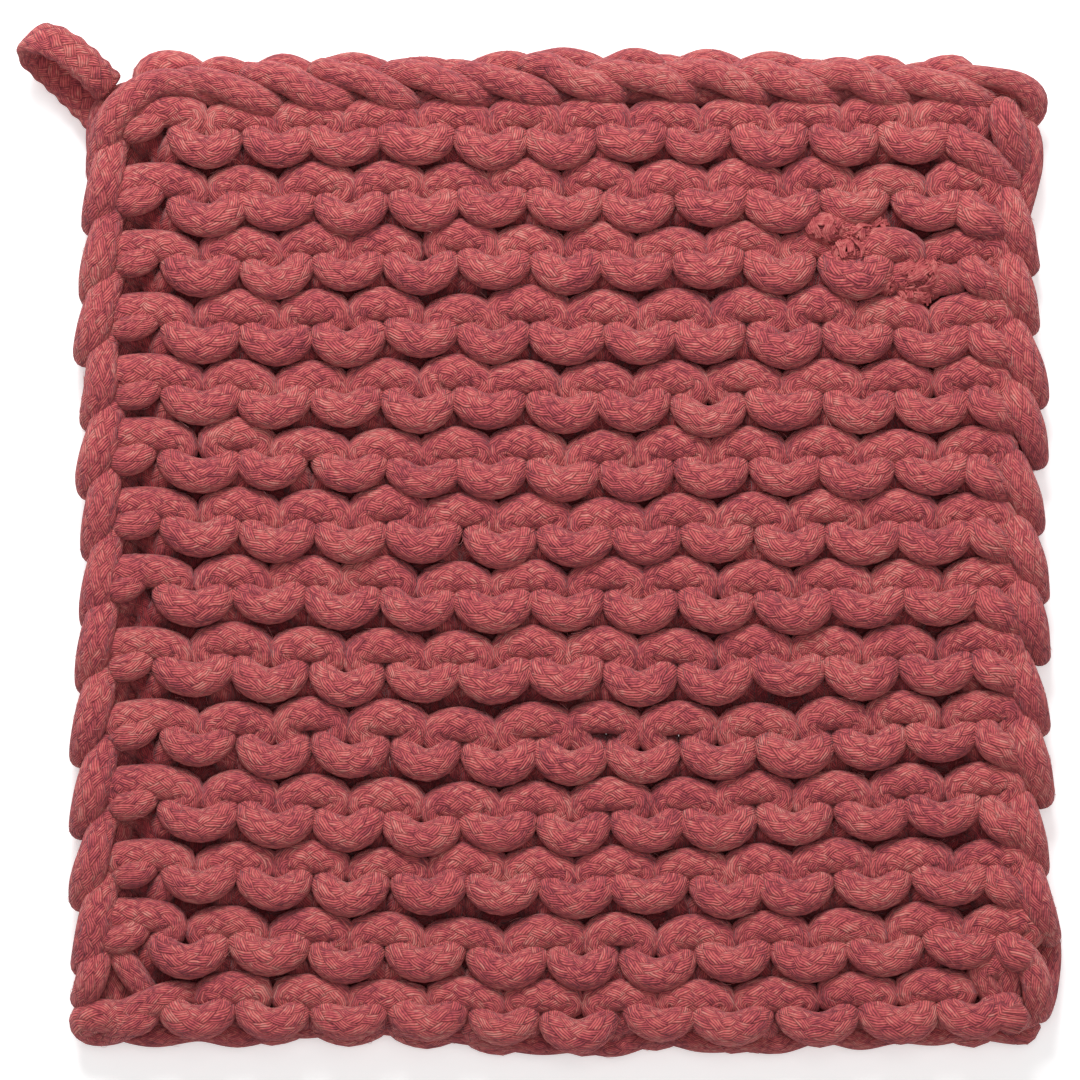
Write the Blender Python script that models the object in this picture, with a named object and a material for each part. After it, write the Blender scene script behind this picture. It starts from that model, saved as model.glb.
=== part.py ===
"""A hand-knitted pot holder in thick cotton yarn, with a hanging loop at one corner.

The square is knitted in garter stitch, so both faces are rows of yarn bumps. On the face, each
ridge is a row of bumps that hang down like smiles, under a row that arches up like frowns. The
ridges and stitches are as uneven as hand knitting is, so a short table gives where each ridge lies.
The holder lies on its back: +X is to its right, +Y is towards the bound-off edge, and +Z is up.
The origin is in the middle of the underside. Sizes are in millimetres until a point is placed.
"""

import math
from collections import namedtuple

import bmesh
import bpy
from mathutils import Vector

MM = 0.001

# ---- driving dimensions -------------------------------------------------------------------------

THICKNESS = 14.0         # from the surface it lies on to the crest of the bumps
STITCHES = 11            # whole bumps along a ridge
TUCK_STEP = 13.0         # from the first whole bump back to the small tucked one beside it
TUCK_HEIGHT = 12.0       # the small bumps beside the selvedges lie a little lower
EDGE_DENT = 1.7          # how far the edge draws in between two ridges
BAR_GROOVE = 1.2         # how deep the groove inside each selvedge bar is
RIM_HEIGHT = THICKNESS / 2
BACK_RIM_HEIGHT = 3.6    # where the side rolls under
BACK_RIM_INSET = 1.4
SMOOTH_ANGLE = math.radians(50)

# The columns of the face and of the back are counted in stitches along a ridge: 0 is the first whole
# bump, -1 the tucked one to its left and -2 the left edge.
LAST = STITCHES - 1
FACE_LEFT = (-2.0, -1.62, -1.3, -1.0, -0.5)
FACE_RIGHT = (LAST + 0.5, LAST + 1.0, LAST + 1.3, LAST + 1.62, LAST + 2.0)
FACE_COLUMNS_PER_STITCH = 4
BACK_LEFT = (-2.0, -1.6, -1.0, -0.5)
BACK_RIGHT = (LAST + 0.5, LAST + 1.0, LAST + 1.6, LAST + 2.0)
BACK_COLUMNS_PER_STITCH = 2

# Where each ridge lies, from the bound-off edge down. The first three are heights on the cloth at the
# first, middle and last whole bump, and the rest are places across it.
Ridge = namedtuple("Ridge", "y_left y_middle y_right edge_left first middle last edge_right")
RIDGES = (
    Ridge(83.4, 83.4, 83.8, -95.2, -70.4, -0.8, 70.0, 96.4),
    Ridge(69.6, 71.2, 70.2, -95.8, -70.8, 0.4, 72.6, 96.0),
    Ridge(57.2, 58.8, 57.6, -96.4, -71.8, 0.8, 72.6, 95.4),
    Ridge(44.4, 44.2, 44.0, -96.4, -71.8, 0.8, 73.8, 96.2),
    Ridge(31.6, 30.2, 31.2, -96.8, -71.4, 0.0, 74.0, 96.6),
    Ridge(18.8, 16.8, 17.8, -95.8, -72.2, 0.6, 73.6, 96.2),
    Ridge(4.8, 3.8, 4.6, -96.2, -71.8, 1.6, 74.8, 97.2),
    Ridge(-8.0, -9.8, -8.8, -97.2, -73.2, 1.0, 75.8, 97.8),
    Ridge(-23.0, -23.6, -22.0, -98.2, -73.2, 1.2, 74.6, 97.6),
    Ridge(-37.4, -40.0, -35.8, -98.4, -72.4, 2.0, 75.8, 98.0),
    Ridge(-51.6, -53.8, -50.8, -98.0, -72.6, 1.8, 76.2, 97.4),
    Ridge(-64.4, -66.8, -64.4, -98.4, -72.4, 2.8, 77.6, 99.0),
    Ridge(-77.6, -81.2, -77.2, -99.2, -74.0, 3.8, 80.0, 99.4),
    Ridge(-92.6, -93.2, -92.0, -98.8, -73.0, 3.6, 83.0, 97.4),
)

# The lines that shape one ridge. Each has its rise above the ridge's middle and its height over the
# surface, first at the middle of a smile and then at the middle of a frown, its height along the
# selvedge bars, how much of a stitch is smile (over 1) or frown (under 1), and how far it leans to
# the left, in stitches.
Line = namedtuple("Line", "name rise_smile rise_frown height_smile height_frown bar_height fullness lean")
TOP_LINES = (
    Line("rim", 17.3, 18.6, RIM_HEIGHT, RIM_HEIGHT, RIM_HEIGHT, 1.0, 0.2),
    Line("back of the chain", 15.2, 16.0, 10.8, 12.8, 11.0, 1.0, 0.2),
    Line("front of the chain", 12.6, 13.8, 11.6, 13.8, 11.6, 0.7, 0.0),
    Line("foot of the chain", 10.6, 11.6, 8.8, 9.8, 10.6, 1.0, -0.2),
)
RIDGE_LINES = (
    Line("top of the frown", 6.9, 9.9, 8.2, 9.8, 10.4, 0.8, 0.0),
    Line("crest of the frown", 5.2, 7.2, 9.8, 12.9, 11.8, 0.6, 0.0),
    Line("seam", 3.7, 4.4, 10.6, 11.0, 12.6, 1.0, 0.0),
    Line("upper smile", 1.5, 3.0, 13.7, 10.4, 12.4, 1.7, 0.0),
    Line("lower smile", -1.7, 1.3, THICKNESS, 10.2, 11.8, 1.7, 0.0),
    Line("foot of the smile", -3.7, -0.9, 9.4, 9.0, 10.6, 1.7, 0.0),
)
BOTTOM_LINES = (
    Line("rim", -5.2, -5.8, RIM_HEIGHT, RIM_HEIGHT, RIM_HEIGHT, 1.0, 0.0),
)
VALLEY_LINES = {"top of the frown", "foot of the smile"}

# The underside has ridges too, half a ridge away from those on the face. They are pressed flat where
# the holder lies on them.
BACK_RIDGE_SHIFT = 1.8
BACK_HALF_WIDTH = 3.9
BACK_ARC = 1.0
BACK_GROOVE = 2.4
BACK_TOP_RISE = 10.0
BACK_BOTTOM_RISE = -1.6
BACK_BOTTOM_HALF_WIDTH = 2.2

# Corner rounding, as a radius for each corner of the square.
CORNER_RADII = {"top left": 20.0, "top right": 13.0, "bottom left": 8.0, "bottom right": 8.0}

# Two lumps where a new length of yarn was joined in and its ends were darned down.
Lump = namedtuple("Lump", "x y height radius")
LUMPS = (
    Lump(60.0, 58.6, 0.9, 5.0),
    Lump(71.0, 56.8, 1.0, 4.5),
)

# The hanging loop is one strand of the same yarn pressed flat, which leaves the corner, turns over at
# its tip and comes back underneath. Its route runs along the middle of the strand.
LOOP_HALF_WIDTH = 3.9
LOOP_HALF_HEIGHT = 1.5
LOOP_SIDES = 12
LOOP_STEPS = 4           # rings between two points of the route
LOOP_ACROSS = Vector((0.69, 0.72, -0.08))
WELD_DISTANCE = 0.001 * MM
LOOP_ROUTE = (
    Vector((-90.95, 95.15, 8.6)),
    Vector((-93.2, 97.5, 11.4)),
    Vector((-96.2, 100.4, 12.5)),
    Vector((-99.8, 103.0, 12.6)),
    Vector((-103.6, 104.6, 11.6)),
    Vector((-106.3, 104.6, 8.4)),
    Vector((-106.0, 102.4, 4.4)),
    Vector((-103.4, 99.6, 2.3)),
    Vector((-100.2, 96.6, 1.9)),
    Vector((-96.9, 93.3, 2.7)),
    Vector((-94.3, 90.7, 4.3)),
)

YARN_COLOUR = (0.47, 0.085, 0.095, 1.0)
LOOP_COLOUR = (0.50, 0.11, 0.10, 1.0)


# ---- helpers ------------------------------------------------------------------------------------

def clear_scene():
    for leftover in list(bpy.data.objects):
        bpy.data.objects.remove(leftover)


def mix(low, high, share):
    return low + (high - low) * share


def frown_share(stitch, fullness=1.0):
    """0 in the middle of a smile, at each whole stitch, and 1 in the middle of a frown between them."""
    return ((1 - math.cos(2 * math.pi * stitch)) / 2) ** fullness


def across(ridge, stitch):
    """Where a stitch lies across one ridge, from the left edge at -2 to the right edge at LAST + 2."""
    tuck = ridge.first - TUCK_STEP
    turn = (ridge.last + ridge.edge_right) / 2
    if stitch < -1:
        return mix(ridge.edge_left, tuck, stitch + 2)
    if stitch < 0:
        return mix(tuck, ridge.first, stitch + 1)
    if stitch > LAST + 1:
        return mix(turn, ridge.edge_right, stitch - LAST - 1)
    if stitch > LAST:
        return mix(ridge.last, turn, stitch - LAST)
    share = stitch / LAST
    bow = ridge.middle - (ridge.first + ridge.last) / 2
    return mix(ridge.first, ridge.last, share) + bow * 4 * share * (1 - share)


def along(ridge, stitch):
    """The height on the cloth of a ridge's middle at a stitch."""
    share = min(max(stitch / LAST, 0.0), 1.0)
    bow = ridge.y_middle - (ridge.y_left + ridge.y_right) / 2
    return mix(ridge.y_left, ridge.y_right, share) + bow * 4 * share * (1 - share)


def round_corner(x, y):
    """Pull a point that is near a corner of the square into that corner's round."""
    top, bottom = RIDGES[0], RIDGES[-1]
    corners = {
        "top left": (top.edge_left, top.y_left + TOP_LINES[0].rise_frown, -1, 1),
        "top right": (top.edge_right, top.y_right + TOP_LINES[0].rise_frown, 1, 1),
        "bottom left": (bottom.edge_left, bottom.y_left + BOTTOM_LINES[0].rise_frown, -1, -1),
        "bottom right": (bottom.edge_right, bottom.y_right + BOTTOM_LINES[0].rise_frown, 1, -1),
    }
    for name, (corner_x, corner_y, side_x, side_y) in corners.items():
        radius = CORNER_RADII[name]
        centre_x = corner_x - side_x * radius
        centre_y = corner_y - side_y * radius
        out_x = (x - centre_x) * side_x / radius
        out_y = (y - centre_y) * side_y / radius
        if out_x > 0 and out_y > 0:
            flat_x, flat_y = min(out_x, 1.0), min(out_y, 1.0)
            x = centre_x + side_x * radius * out_x * math.sqrt(1 - flat_y ** 2 / 2)
            y = centre_y + side_y * radius * out_y * math.sqrt(1 - flat_x ** 2 / 2)
    return x, y


def lumps_at(x, y):
    """How much the darned ends of the yarn join raise the face at a point."""
    rise = 0.0
    for lump in LUMPS:
        distance = math.hypot(x - lump.x, y - lump.y)
        rise += lump.height * math.exp(-(distance / lump.radius) ** 2)
    return rise


def lay_grid(mesh, rows):
    """Lay a grid of quads on rows of points and return its border edges. Each row has as many points."""
    columns = len(rows[0])
    made = bmesh.ops.create_grid(mesh, x_segments=columns - 1, y_segments=len(rows) - 1, size=1.0)
    by_place = sorted(made["verts"], key=lambda vert: (-round(vert.co.y, 5), round(vert.co.x, 5)))
    for number, vert in enumerate(by_place):
        row, column = divmod(number, columns)
        vert.co = Vector(rows[row][column]) * MM
    return [edge for vert in by_place for edge in vert.link_edges if edge.is_boundary]


def material(name, colour, roughness):
    made = bpy.data.materials.new(name)
    made.use_nodes = True
    shader = made.node_tree.nodes["Principled BSDF"]
    shader.inputs["Base Color"].default_value = colour
    shader.inputs["Roughness"].default_value = roughness
    shader.inputs["Metallic"].default_value = 0.0
    return made


def finish(mesh, name, collection, colour):
    """Turn the worked mesh into a named object with its faces outwards and its own material."""
    bmesh.ops.recalc_face_normals(mesh, faces=mesh.faces)
    data = bpy.data.meshes.new(name)
    mesh.to_mesh(data)
    mesh.free()
    data.materials.append(material(name, colour, roughness=0.9))
    data.shade_smooth()
    data.set_sharp_from_angle(angle=SMOOTH_ANGLE)
    made = bpy.data.objects.new(name, data)
    collection.objects.link(made)
    return made


# ---- the knitted square -------------------------------------------------------------------------

def columns(left, right, per_stitch):
    """The stitches at which the rows of points have their columns."""
    whole_bumps = [count / per_stitch for count in range(per_stitch * LAST + 1)]
    return list(left) + whole_bumps + list(right)


def face_point(ridge, line, stitch):
    """A point of the face where a line of a ridge crosses a column."""
    share = frown_share(stitch + line.lean, line.fullness)
    x = across(ridge, stitch)
    y = along(ridge, stitch) + mix(line.rise_smile, line.rise_frown, share)
    z = mix(line.height_smile, line.height_frown, share)
    outside = max(-1 - stitch, stitch - LAST - 1)
    if outside > 0:
        side = -1 if stitch < 0 else 1
        y = along(ridge, stitch) + mix(line.rise_smile, line.rise_frown, 0.5)
        z = line.bar_height if outside > 0.5 else min(z, line.bar_height) - BAR_GROOVE
        if line.name in VALLEY_LINES:
            x -= side * EDGE_DENT * outside
    elif stitch in (-1.0, LAST + 1.0):
        z = min(z, TUCK_HEIGHT)
    if stitch in (-2.0, LAST + 2.0) or line.name == "rim":
        z = RIM_HEIGHT
    x, y = round_corner(x, y)
    if z > RIM_HEIGHT:
        z += lumps_at(x, y)
    return x, y, z


def face_rows():
    places = [(RIDGES[0], line) for line in TOP_LINES]
    places += [(ridge, line) for ridge in RIDGES for line in RIDGE_LINES]
    places += [(RIDGES[-1], line) for line in BOTTOM_LINES]
    stitches = columns(FACE_LEFT, FACE_RIGHT, FACE_COLUMNS_PER_STITCH)
    return [[face_point(ridge, line, stitch) for stitch in stitches] for ridge, line in places]


def raised(ridge, rise):
    return ridge._replace(
        y_left=ridge.y_left + rise, y_middle=ridge.y_middle + rise, y_right=ridge.y_right + rise
    )


def halfway(upper, lower):
    return Ridge(*(mix(high, low, 0.5) for high, low in zip(upper, lower)))


def back_ridges():
    """The middle of each ridge on the underside, as a ridge of its own, and its half width."""
    ridges = [(raised(RIDGES[0], BACK_TOP_RISE), BACK_HALF_WIDTH)]
    for upper, lower in zip(RIDGES, RIDGES[1:]):
        ridges.append((raised(halfway(upper, lower), BACK_RIDGE_SHIFT), BACK_HALF_WIDTH))
    ridges.append((raised(RIDGES[-1], BACK_BOTTOM_RISE), BACK_BOTTOM_HALF_WIDTH))
    return ridges


def back_row(ridge, rise, height):
    """One row of points on the underside. Only the flats, at a height of 0, keep that height all along."""
    points = []
    for stitch in columns(BACK_LEFT, BACK_RIGHT, BACK_COLUMNS_PER_STITCH):
        share = frown_share(stitch)
        x = across(ridge, stitch)
        y = along(ridge, stitch) + rise
        if stitch in (-2.0, LAST + 2.0):
            x -= math.copysign(BACK_RIM_INSET, x)
            z = BACK_RIM_HEIGHT
        else:
            y += BACK_ARC * (share - 0.5)
            z = height + BACK_ARC * share if height else 0.0
        x, y = round_corner(x, y)
        points.append((x, y, z))
    return points


def back_rim(ridge, rise):
    """The top or bottom end of the underside, where it rolls up to the side."""
    return [(x, y, BACK_RIM_HEIGHT) for x, y, z in back_row(ridge, rise, 0.0)]


def back_rows():
    ridges = back_ridges()
    rows = [back_rim(RIDGES[0], TOP_LINES[0].rise_smile - BACK_RIM_INSET)]
    for number, (ridge, half_width) in enumerate(ridges):
        if number:
            rows.append(back_row(halfway(ridges[number - 1][0], ridge), 0.0, BACK_GROOVE))
        rows.append(back_row(ridge, half_width, 0.0))
        rows.append(back_row(ridge, -half_width, 0.0))
    rows.append(back_rim(RIDGES[-1], BOTTOM_LINES[0].rise_smile + BACK_RIM_INSET / 2))
    return rows


def build_square(collection):
    mesh = bmesh.new()
    border = lay_grid(mesh, face_rows())
    border += lay_grid(mesh, back_rows())
    bmesh.ops.bridge_loops(mesh, edges=list(dict.fromkeys(border)))
    bmesh.ops.triangulate(mesh, faces=mesh.faces, quad_method="SHORT_EDGE")
    return finish(mesh, "knitted_square", collection, YARN_COLOUR)


# ---- the hanging loop ---------------------------------------------------------------------------

def smooth_route(points, steps):
    """Points along a smooth curve that passes through each point of the route."""
    ends = [2 * points[0] - points[1]] + list(points) + [2 * points[-1] - points[-2]]
    route = []
    for before, start, end, after in zip(ends, ends[1:], ends[2:], ends[3:]):
        for step in range(steps):
            t = step / steps
            straight = (end - before) * t
            bend = (2 * before - 5 * start + 4 * end - after) * t ** 2
            turn = (3 * start - before - 3 * end + after) * t ** 3
            route.append(start + (straight + bend + turn) / 2)
    route.append(points[-1])
    return route


def build_loop(collection):
    route = smooth_route(LOOP_ROUTE, LOOP_STEPS)
    rings = []
    for number, centre in enumerate(route):
        ahead = route[min(number + 1, len(route) - 1)]
        behind = route[max(number - 1, 0)]
        tangent = (ahead - behind).normalized()
        wide = (LOOP_ACROSS - LOOP_ACROSS.dot(tangent) * tangent).normalized()
        thick = tangent.cross(wide)
        ring = []
        for side in range(LOOP_SIDES + 1):
            angle = 2 * math.pi * (side % LOOP_SIDES) / LOOP_SIDES
            sideways = wide * LOOP_HALF_WIDTH * math.cos(angle)
            upwards = thick * LOOP_HALF_HEIGHT * math.sin(angle)
            ring.append(centre + sideways + upwards)
        rings.append(ring)
    mesh = bmesh.new()
    lay_grid(mesh, rings)
    bmesh.ops.remove_doubles(mesh, verts=mesh.verts, dist=WELD_DISTANCE)
    bmesh.ops.holes_fill(mesh, edges=[edge for edge in mesh.edges if edge.is_boundary])
    return finish(mesh, "hanging_loop", collection, LOOP_COLOUR)


def main():
    clear_scene()
    collection = bpy.data.collections.new("pot_holder")
    bpy.context.scene.collection.children.link(collection)
    build_square(collection)
    build_loop(collection)


main()
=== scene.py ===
# %% [markdown]
# # A hand-knitted pot holder
# The real thing is one length of thick cotton yarn, knitted row on row into a square of garter stitch.
# A bumpy sheet would look right from straight above only. Here the yarn itself is modelled: one long
# route that a maker's needles would give it, and a round tube along that route. So the gaps, the
# crossings, the edges and the underside all come out as they do in knitting.

# %% The frame
import math

import bpy
import numpy as np
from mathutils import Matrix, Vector


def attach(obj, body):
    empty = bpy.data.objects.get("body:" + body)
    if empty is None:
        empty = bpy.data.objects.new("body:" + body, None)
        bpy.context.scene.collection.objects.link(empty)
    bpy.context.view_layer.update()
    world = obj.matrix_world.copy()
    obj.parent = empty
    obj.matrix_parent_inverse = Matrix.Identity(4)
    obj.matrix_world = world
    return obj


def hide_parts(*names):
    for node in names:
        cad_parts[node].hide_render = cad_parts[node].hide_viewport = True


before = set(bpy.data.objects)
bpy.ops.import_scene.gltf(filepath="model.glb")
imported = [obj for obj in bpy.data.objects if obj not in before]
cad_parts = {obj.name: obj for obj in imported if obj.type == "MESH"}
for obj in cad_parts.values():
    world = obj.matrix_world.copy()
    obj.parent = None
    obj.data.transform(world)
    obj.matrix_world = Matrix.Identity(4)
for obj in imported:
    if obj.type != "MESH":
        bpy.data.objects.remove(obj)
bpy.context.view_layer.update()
SQUARE, LOOP = "knitted_square", "hanging_loop"
BODY = "root"
MM = 0.001
chance = np.random.default_rng(14)
print("CAD nodes:", sorted(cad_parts))


# %% [markdown]
# ## The photograph's view
# The holder was photographed from straight above with a long lens, so its sides don't show. A camera
# over a metre away with a long lens does the same. The picture covers 216 mm each way.

# %% The camera
PICTURE_SIDE = 216.0 * MM
PICTURE_MIDDLE = (-4.4 * MM, 4.4 * MM)
FACE_HEIGHT = 11.0 * MM
LENS_HEIGHT = 1.4
SENSOR = 36.0

bpy.ops.object.camera_add(location=(*PICTURE_MIDDLE, LENS_HEIGHT), rotation=(0, 0, 0))
camera = bpy.context.object
camera.data.sensor_width = SENSOR
camera.data.lens = SENSOR * (LENS_HEIGHT - FACE_HEIGHT) / PICTURE_SIDE
camera.data.clip_start = 0.01
bpy.context.scene.camera = camera
print("lens", round(camera.data.lens), "mm")

# %% [markdown]
# ## Light
# The photograph has soft light that comes mostly from the top of the picture: each bump has its own
# dark line below it. One wide area light stands low on that side, a weaker one hangs above, and the
# pale world gives the rest.

# %% The lights and the world
LIGHTS = (
    # name, place and side in metres, and power in watts
    ("light_from_the_top", (-0.12, 0.8, 0.7), 0.4, 11.0),
    ("light_from_above", (0.1, 0.1, 1.5), 0.8, 6.0),
)
WHITE = (1.0, 1.0, 1.0, 1.0)
WORLD_STRENGTH = 0.32


def area_light(name, place, side, watts):
    """A square lamp that looks at the middle of the holder."""
    bpy.ops.object.light_add(type="AREA", location=place)
    lamp = bpy.context.object
    lamp.name = name
    lamp.data.size = side
    lamp.data.energy = watts
    lamp.rotation_euler = (-Vector(place)).to_track_quat("-Z", "Y").to_euler()


for name, place, side, watts in LIGHTS:
    area_light(name, place, side, watts)
world = bpy.data.worlds.new("studio")
world.use_nodes = True
world.node_tree.nodes["Background"].inputs["Color"].default_value = WHITE
world.node_tree.nodes["Background"].inputs["Strength"].default_value = WORLD_STRENGTH
bpy.context.scene.world = world
bpy.context.scene.view_settings.view_transform = "Standard"
print(len(LIGHTS), "lights, and a world of strength", WORLD_STRENGTH)

# %% [markdown]
# ## Floor
# The holder lies on white paper that glows a little, as on a light table, so its shadow stays faint.

# %% The floor
FLOOR_SIDE = 6.0
PAPER_COLOUR = (0.93, 0.93, 0.93, 1.0)
PAPER_GLOW = 0.38
ROUGH = 0.9  # paper and cotton are both quite matt


def new_material(name, constants):
    """A material, its tree and its shader, with constants on the shader's own sockets."""
    material = bpy.data.materials.new(name)
    material.use_nodes = True
    shader = material.node_tree.nodes["Principled BSDF"]
    for socket, value in constants.items():
        shader.inputs[socket].default_value = value
    return material, material.node_tree, shader


bpy.ops.mesh.primitive_plane_add(size=FLOOR_SIDE)
floor = bpy.context.object
floor.name = "floor"
paper, _, _ = new_material("white_paper", {
    "Base Color": PAPER_COLOUR, "Roughness": ROUGH,
    "Emission Color": WHITE, "Emission Strength": PAPER_GLOW,
})
floor.data.materials.append(paper)
print("floor", FLOOR_SIDE, "m each way")

# %% [markdown]
# ## How the knitting lies
# Fourteen ridges cross the face. Hand knitting is uneven, so a table says in millimetres where each one
# lies: how far up the cloth its first, middle and last whole bump are, and where they and its two edges
# are across it. The rest of the unevenness is small and random, from a seeded generator.

# %% The ridges, from the bound-off edge down
RIDGES = (
    # up: first, middle and last bump; across: left edge, first, middle and last bump, right edge
    (83.4, 83.4, 83.8, -95.8, -70.4, -0.8, 70.0, 96.4),
    (69.6, 71.2, 70.2, -96.4, -70.8, 0.4, 72.6, 96.0),
    (57.2, 58.8, 57.6, -96.9, -71.8, 0.8, 72.6, 95.4),
    (44.4, 44.2, 44.0, -96.4, -71.8, 0.8, 73.8, 96.2),
    (31.6, 30.2, 31.2, -96.8, -71.4, 0.0, 74.0, 96.6),
    (18.8, 16.8, 17.8, -95.8, -72.2, 0.6, 73.6, 96.2),
    (4.8, 3.8, 4.6, -96.2, -71.8, 1.6, 74.8, 97.2),
    (-8.0, -9.8, -8.8, -97.2, -73.2, 1.0, 75.8, 97.8),
    (-23.0, -23.6, -22.0, -98.2, -73.2, 1.2, 74.6, 97.6),
    (-37.4, -40.0, -35.8, -98.4, -72.4, 2.0, 75.8, 98.0),
    (-51.6, -53.8, -50.8, -98.0, -72.6, 1.8, 76.2, 97.4),
    (-64.4, -66.8, -64.4, -98.4, -72.4, 2.8, 77.6, 99.0),
    (-77.6, -81.2, -77.2, -97.8, -74.0, 3.8, 80.0, 99.4),
    (-92.6, -93.2, -92.0, -98.8, -73.0, 3.6, 83.0, 97.4),
)
BUMPS = 11  # whole bumps along a ridge
TUCK_STEP = 15.0  # from the first whole bump to the small one tucked in beside it
LAST_STEP = 11.6  # from the last whole bump to the part of one beside it
SMILE_DROP = 1.2  # the middle of a smile's yarn lies this much below its ridge's height
FROWN_RISE = 6.7  # and the middle of a frown's yarn this much above it
LOOP_RISE = 15.4  # how far a loop of yarn reaches up from its foot
MIDDLE_HEIGHT = 7.1  # the middle of the fabric, over the table
SMILE_DEPTHS = (4.7, 3.1)  # how far a smile's foot and head lie from the middle of the fabric
FROWN_DEPTHS = (4.0, 2.1)  # and those of a frown's loop
SMILE_DIVE = 0.52  # how soon the yarn dives through the fabric beside a foot, in a row of smiles
FROWN_DIVE = 0.42  # and in a row of frowns
DIVE_STEEPNESS = 2.0  # how sharply it turns there
SMILE_SHAPE = (0.2, 0.87)  # how far a loop swings out past its neck, in stitches, and its curl
FROWN_SHAPE = (0.23, 0.66)  # a lower curl gives a flatter head over a more curled foot
HEAD_LEAN = (1.2, 2.4)  # how far the outer heads lean out, at the left and at the right
SAMPLES = 32  # points of the route in a stitch
ARC_RADIUS = 3.55  # the yarn where it swells on the two faces
SMILE_LEG = 2.3  # the yarn where it is squeezed between other loops, in a row of smiles
FROWN_LEG = 2.7  # and in a row of frowns
SWELL_POWER = 0.9  # how the thickness goes from one to the other; 1 would be evenly
BAR_RADIUS = 2.6  # the yarn along the edges
SQUASH = 0.85  # how flat the yarn is pressed
FROWN_REACH = (5.0, 4.0)  # how far the outer frowns reach past the small bumps below them


def bowed(low, middle, high, share):
    """A value along a ridge that is known at its two ends and its middle."""
    return low + (high - low) * share + (middle - (low + high) / 2) * 4 * share * (1 - share)


def feet_of(ridge):
    """Where the feet of the loops are in one ridge, from left to right: places across and heights."""
    y_left, y_middle, y_right, _, first, middle, last, _ = ridge
    share = np.linspace(0, 1, BUMPS)
    across = bowed(first, middle, last, share)
    along = bowed(y_left, y_middle, y_right, share)
    across = np.concatenate([[first - TUCK_STEP], across, [last + LAST_STEP]])
    along = np.concatenate([along[:1], along, along[-1:]])
    return across, along


def heads_between(across):
    """A loop's head lies between two feet, and the outer heads lean out over the short end bumps."""
    heads = (across[:-1] + across[1:]) / 2
    heads[0] -= HEAD_LEAN[0]
    heads[-1] += HEAD_LEAN[1]
    return heads


top_feet, _ = feet_of(RIDGES[0])
print(len(RIDGES), "ridges; the feet of the first one are at", top_feet.round(1).tolist())


# %% [markdown]
# ## The route of the yarn
# In garter stitch the rows take turns. In one row the foot of each loop is at the back and its head at
# the front, which shows as a frown. In the next row the foot is at the front, which shows as a smile,
# and the head is at the back. Between foot and head the yarn passes through the fabric, and each loop
# is wider than its neck. Cosines and sines give that shape.

# %% One row of loops
def loop_row(across, y_foot, y_head, foot_side, shape):
    """The route of one row, from its first foot to its last. foot_side is 1 where the feet face up."""
    swell, curl = shape
    heads = heads_between(across)
    points = []
    for stitch, head in enumerate(heads):
        left, right = across[stitch], across[stitch + 1]
        for sample in range(SAMPLES):
            turn = sample / SAMPLES
            swing = math.cos(2 * math.pi * turn)
            near = left if turn < 0.5 else right
            width = abs(head - near) * 2
            side = 1 if turn < 0.5 else -1
            past_foot = turn if turn < 0.5 else 1 - turn
            bulge = swell * width * math.sin(4 * math.pi * past_foot)
            x = near + side * (width * past_foot + bulge)
            foot = y_foot[stitch] if turn < 0.5 else y_foot[stitch + 1]
            y = foot + (y_head[stitch] - foot) * ((1 - swing) / 2) ** curl
            points.append((x, y, swing * foot_side, 0.0))
    points.append((across[-1], y_foot[-1], foot_side, 0.0))
    return np.array(points)


def lift(row, foot_side, depths, dive, leg_radius):
    """Turn the swing kept in the third column into a height, and give the yarn's thickness there."""
    swing = row[:, 2] * foot_side
    level = np.tanh(DIVE_STEEPNESS * (swing - dive))
    near_foot = level / np.tanh(DIVE_STEEPNESS * (1 - dive)) * depths[0]
    near_head = level / np.tanh(DIVE_STEEPNESS * (1 + dive)) * depths[1]
    row[:, 2] = MIDDLE_HEIGHT + foot_side * np.where(level > 0, near_foot, near_head)
    row[:, 3] = leg_radius + (ARC_RADIUS - leg_radius) * np.abs(swing) ** SWELL_POWER
    return row


# %% [markdown]
# ## The selvedges
# At each side the yarn turns back for the next row. It leaves the last small bump, runs down the edge
# as a slanting bar, rolls round the edge and climbs up the back to the row above. The bars overlap like
# the links of a chain.

# %% The turns at the two sides
# Points from the end bump of a front row round the edge: outwards, up the cloth, height, thickness.
LEFT_TURN = (
    (2.2, -0.6, 9.0, 2.7), (4.4, -2.6, 9.2, 3.0), (5.7, -6.4, 10.6, 3.4), (7.0, -11.0, 11.0, 3.6),
    (8.4, -15.4, 9.4, 3.3), (9.4, -18.2, 6.4, 2.7), (9.0, -16.4, 4.0, 2.7), (6.4, -12.8, 3.3, 2.7),
    (3.0, -10.4, 3.1, 2.7),
)
RIGHT_TURN = (
    (3.0, -1.8, 10.4, 3.0), (5.2, -3.4, 7.8, 2.4), (6.6, -1.2, 5.4, 2.2), (6.2, 2.4, 7.0, 2.5),
    (5.4, 3.6, 9.8, 3.1), (6.6, 0.0, 11.1, 3.5), (8.4, -3.8, 10.6, 3.3), (9.8, -7.4, 8.8, 2.8),
    (10.6, -9.6, 6.4, 2.4), (9.8, -8.0, 3.9, 2.6), (8.0, -2.0, 3.2, 2.7), (5.0, 3.4, 3.1, 2.7),
)
LEFT_TURN_LOW = (
    (2.0, -0.4, 8.6, 2.6), (3.2, -2.2, 9.2, 2.9), (4.8, -5.2, 10.6, 3.3), (6.6, -8.6, 10.4, 3.3),
    (7.8, -11.2, 8.0, 2.9), (8.2, -11.4, 4.6, 2.6), (6.4, -9.4, 3.4, 2.6), (3.0, -7.0, 3.1, 2.6),
)
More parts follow.
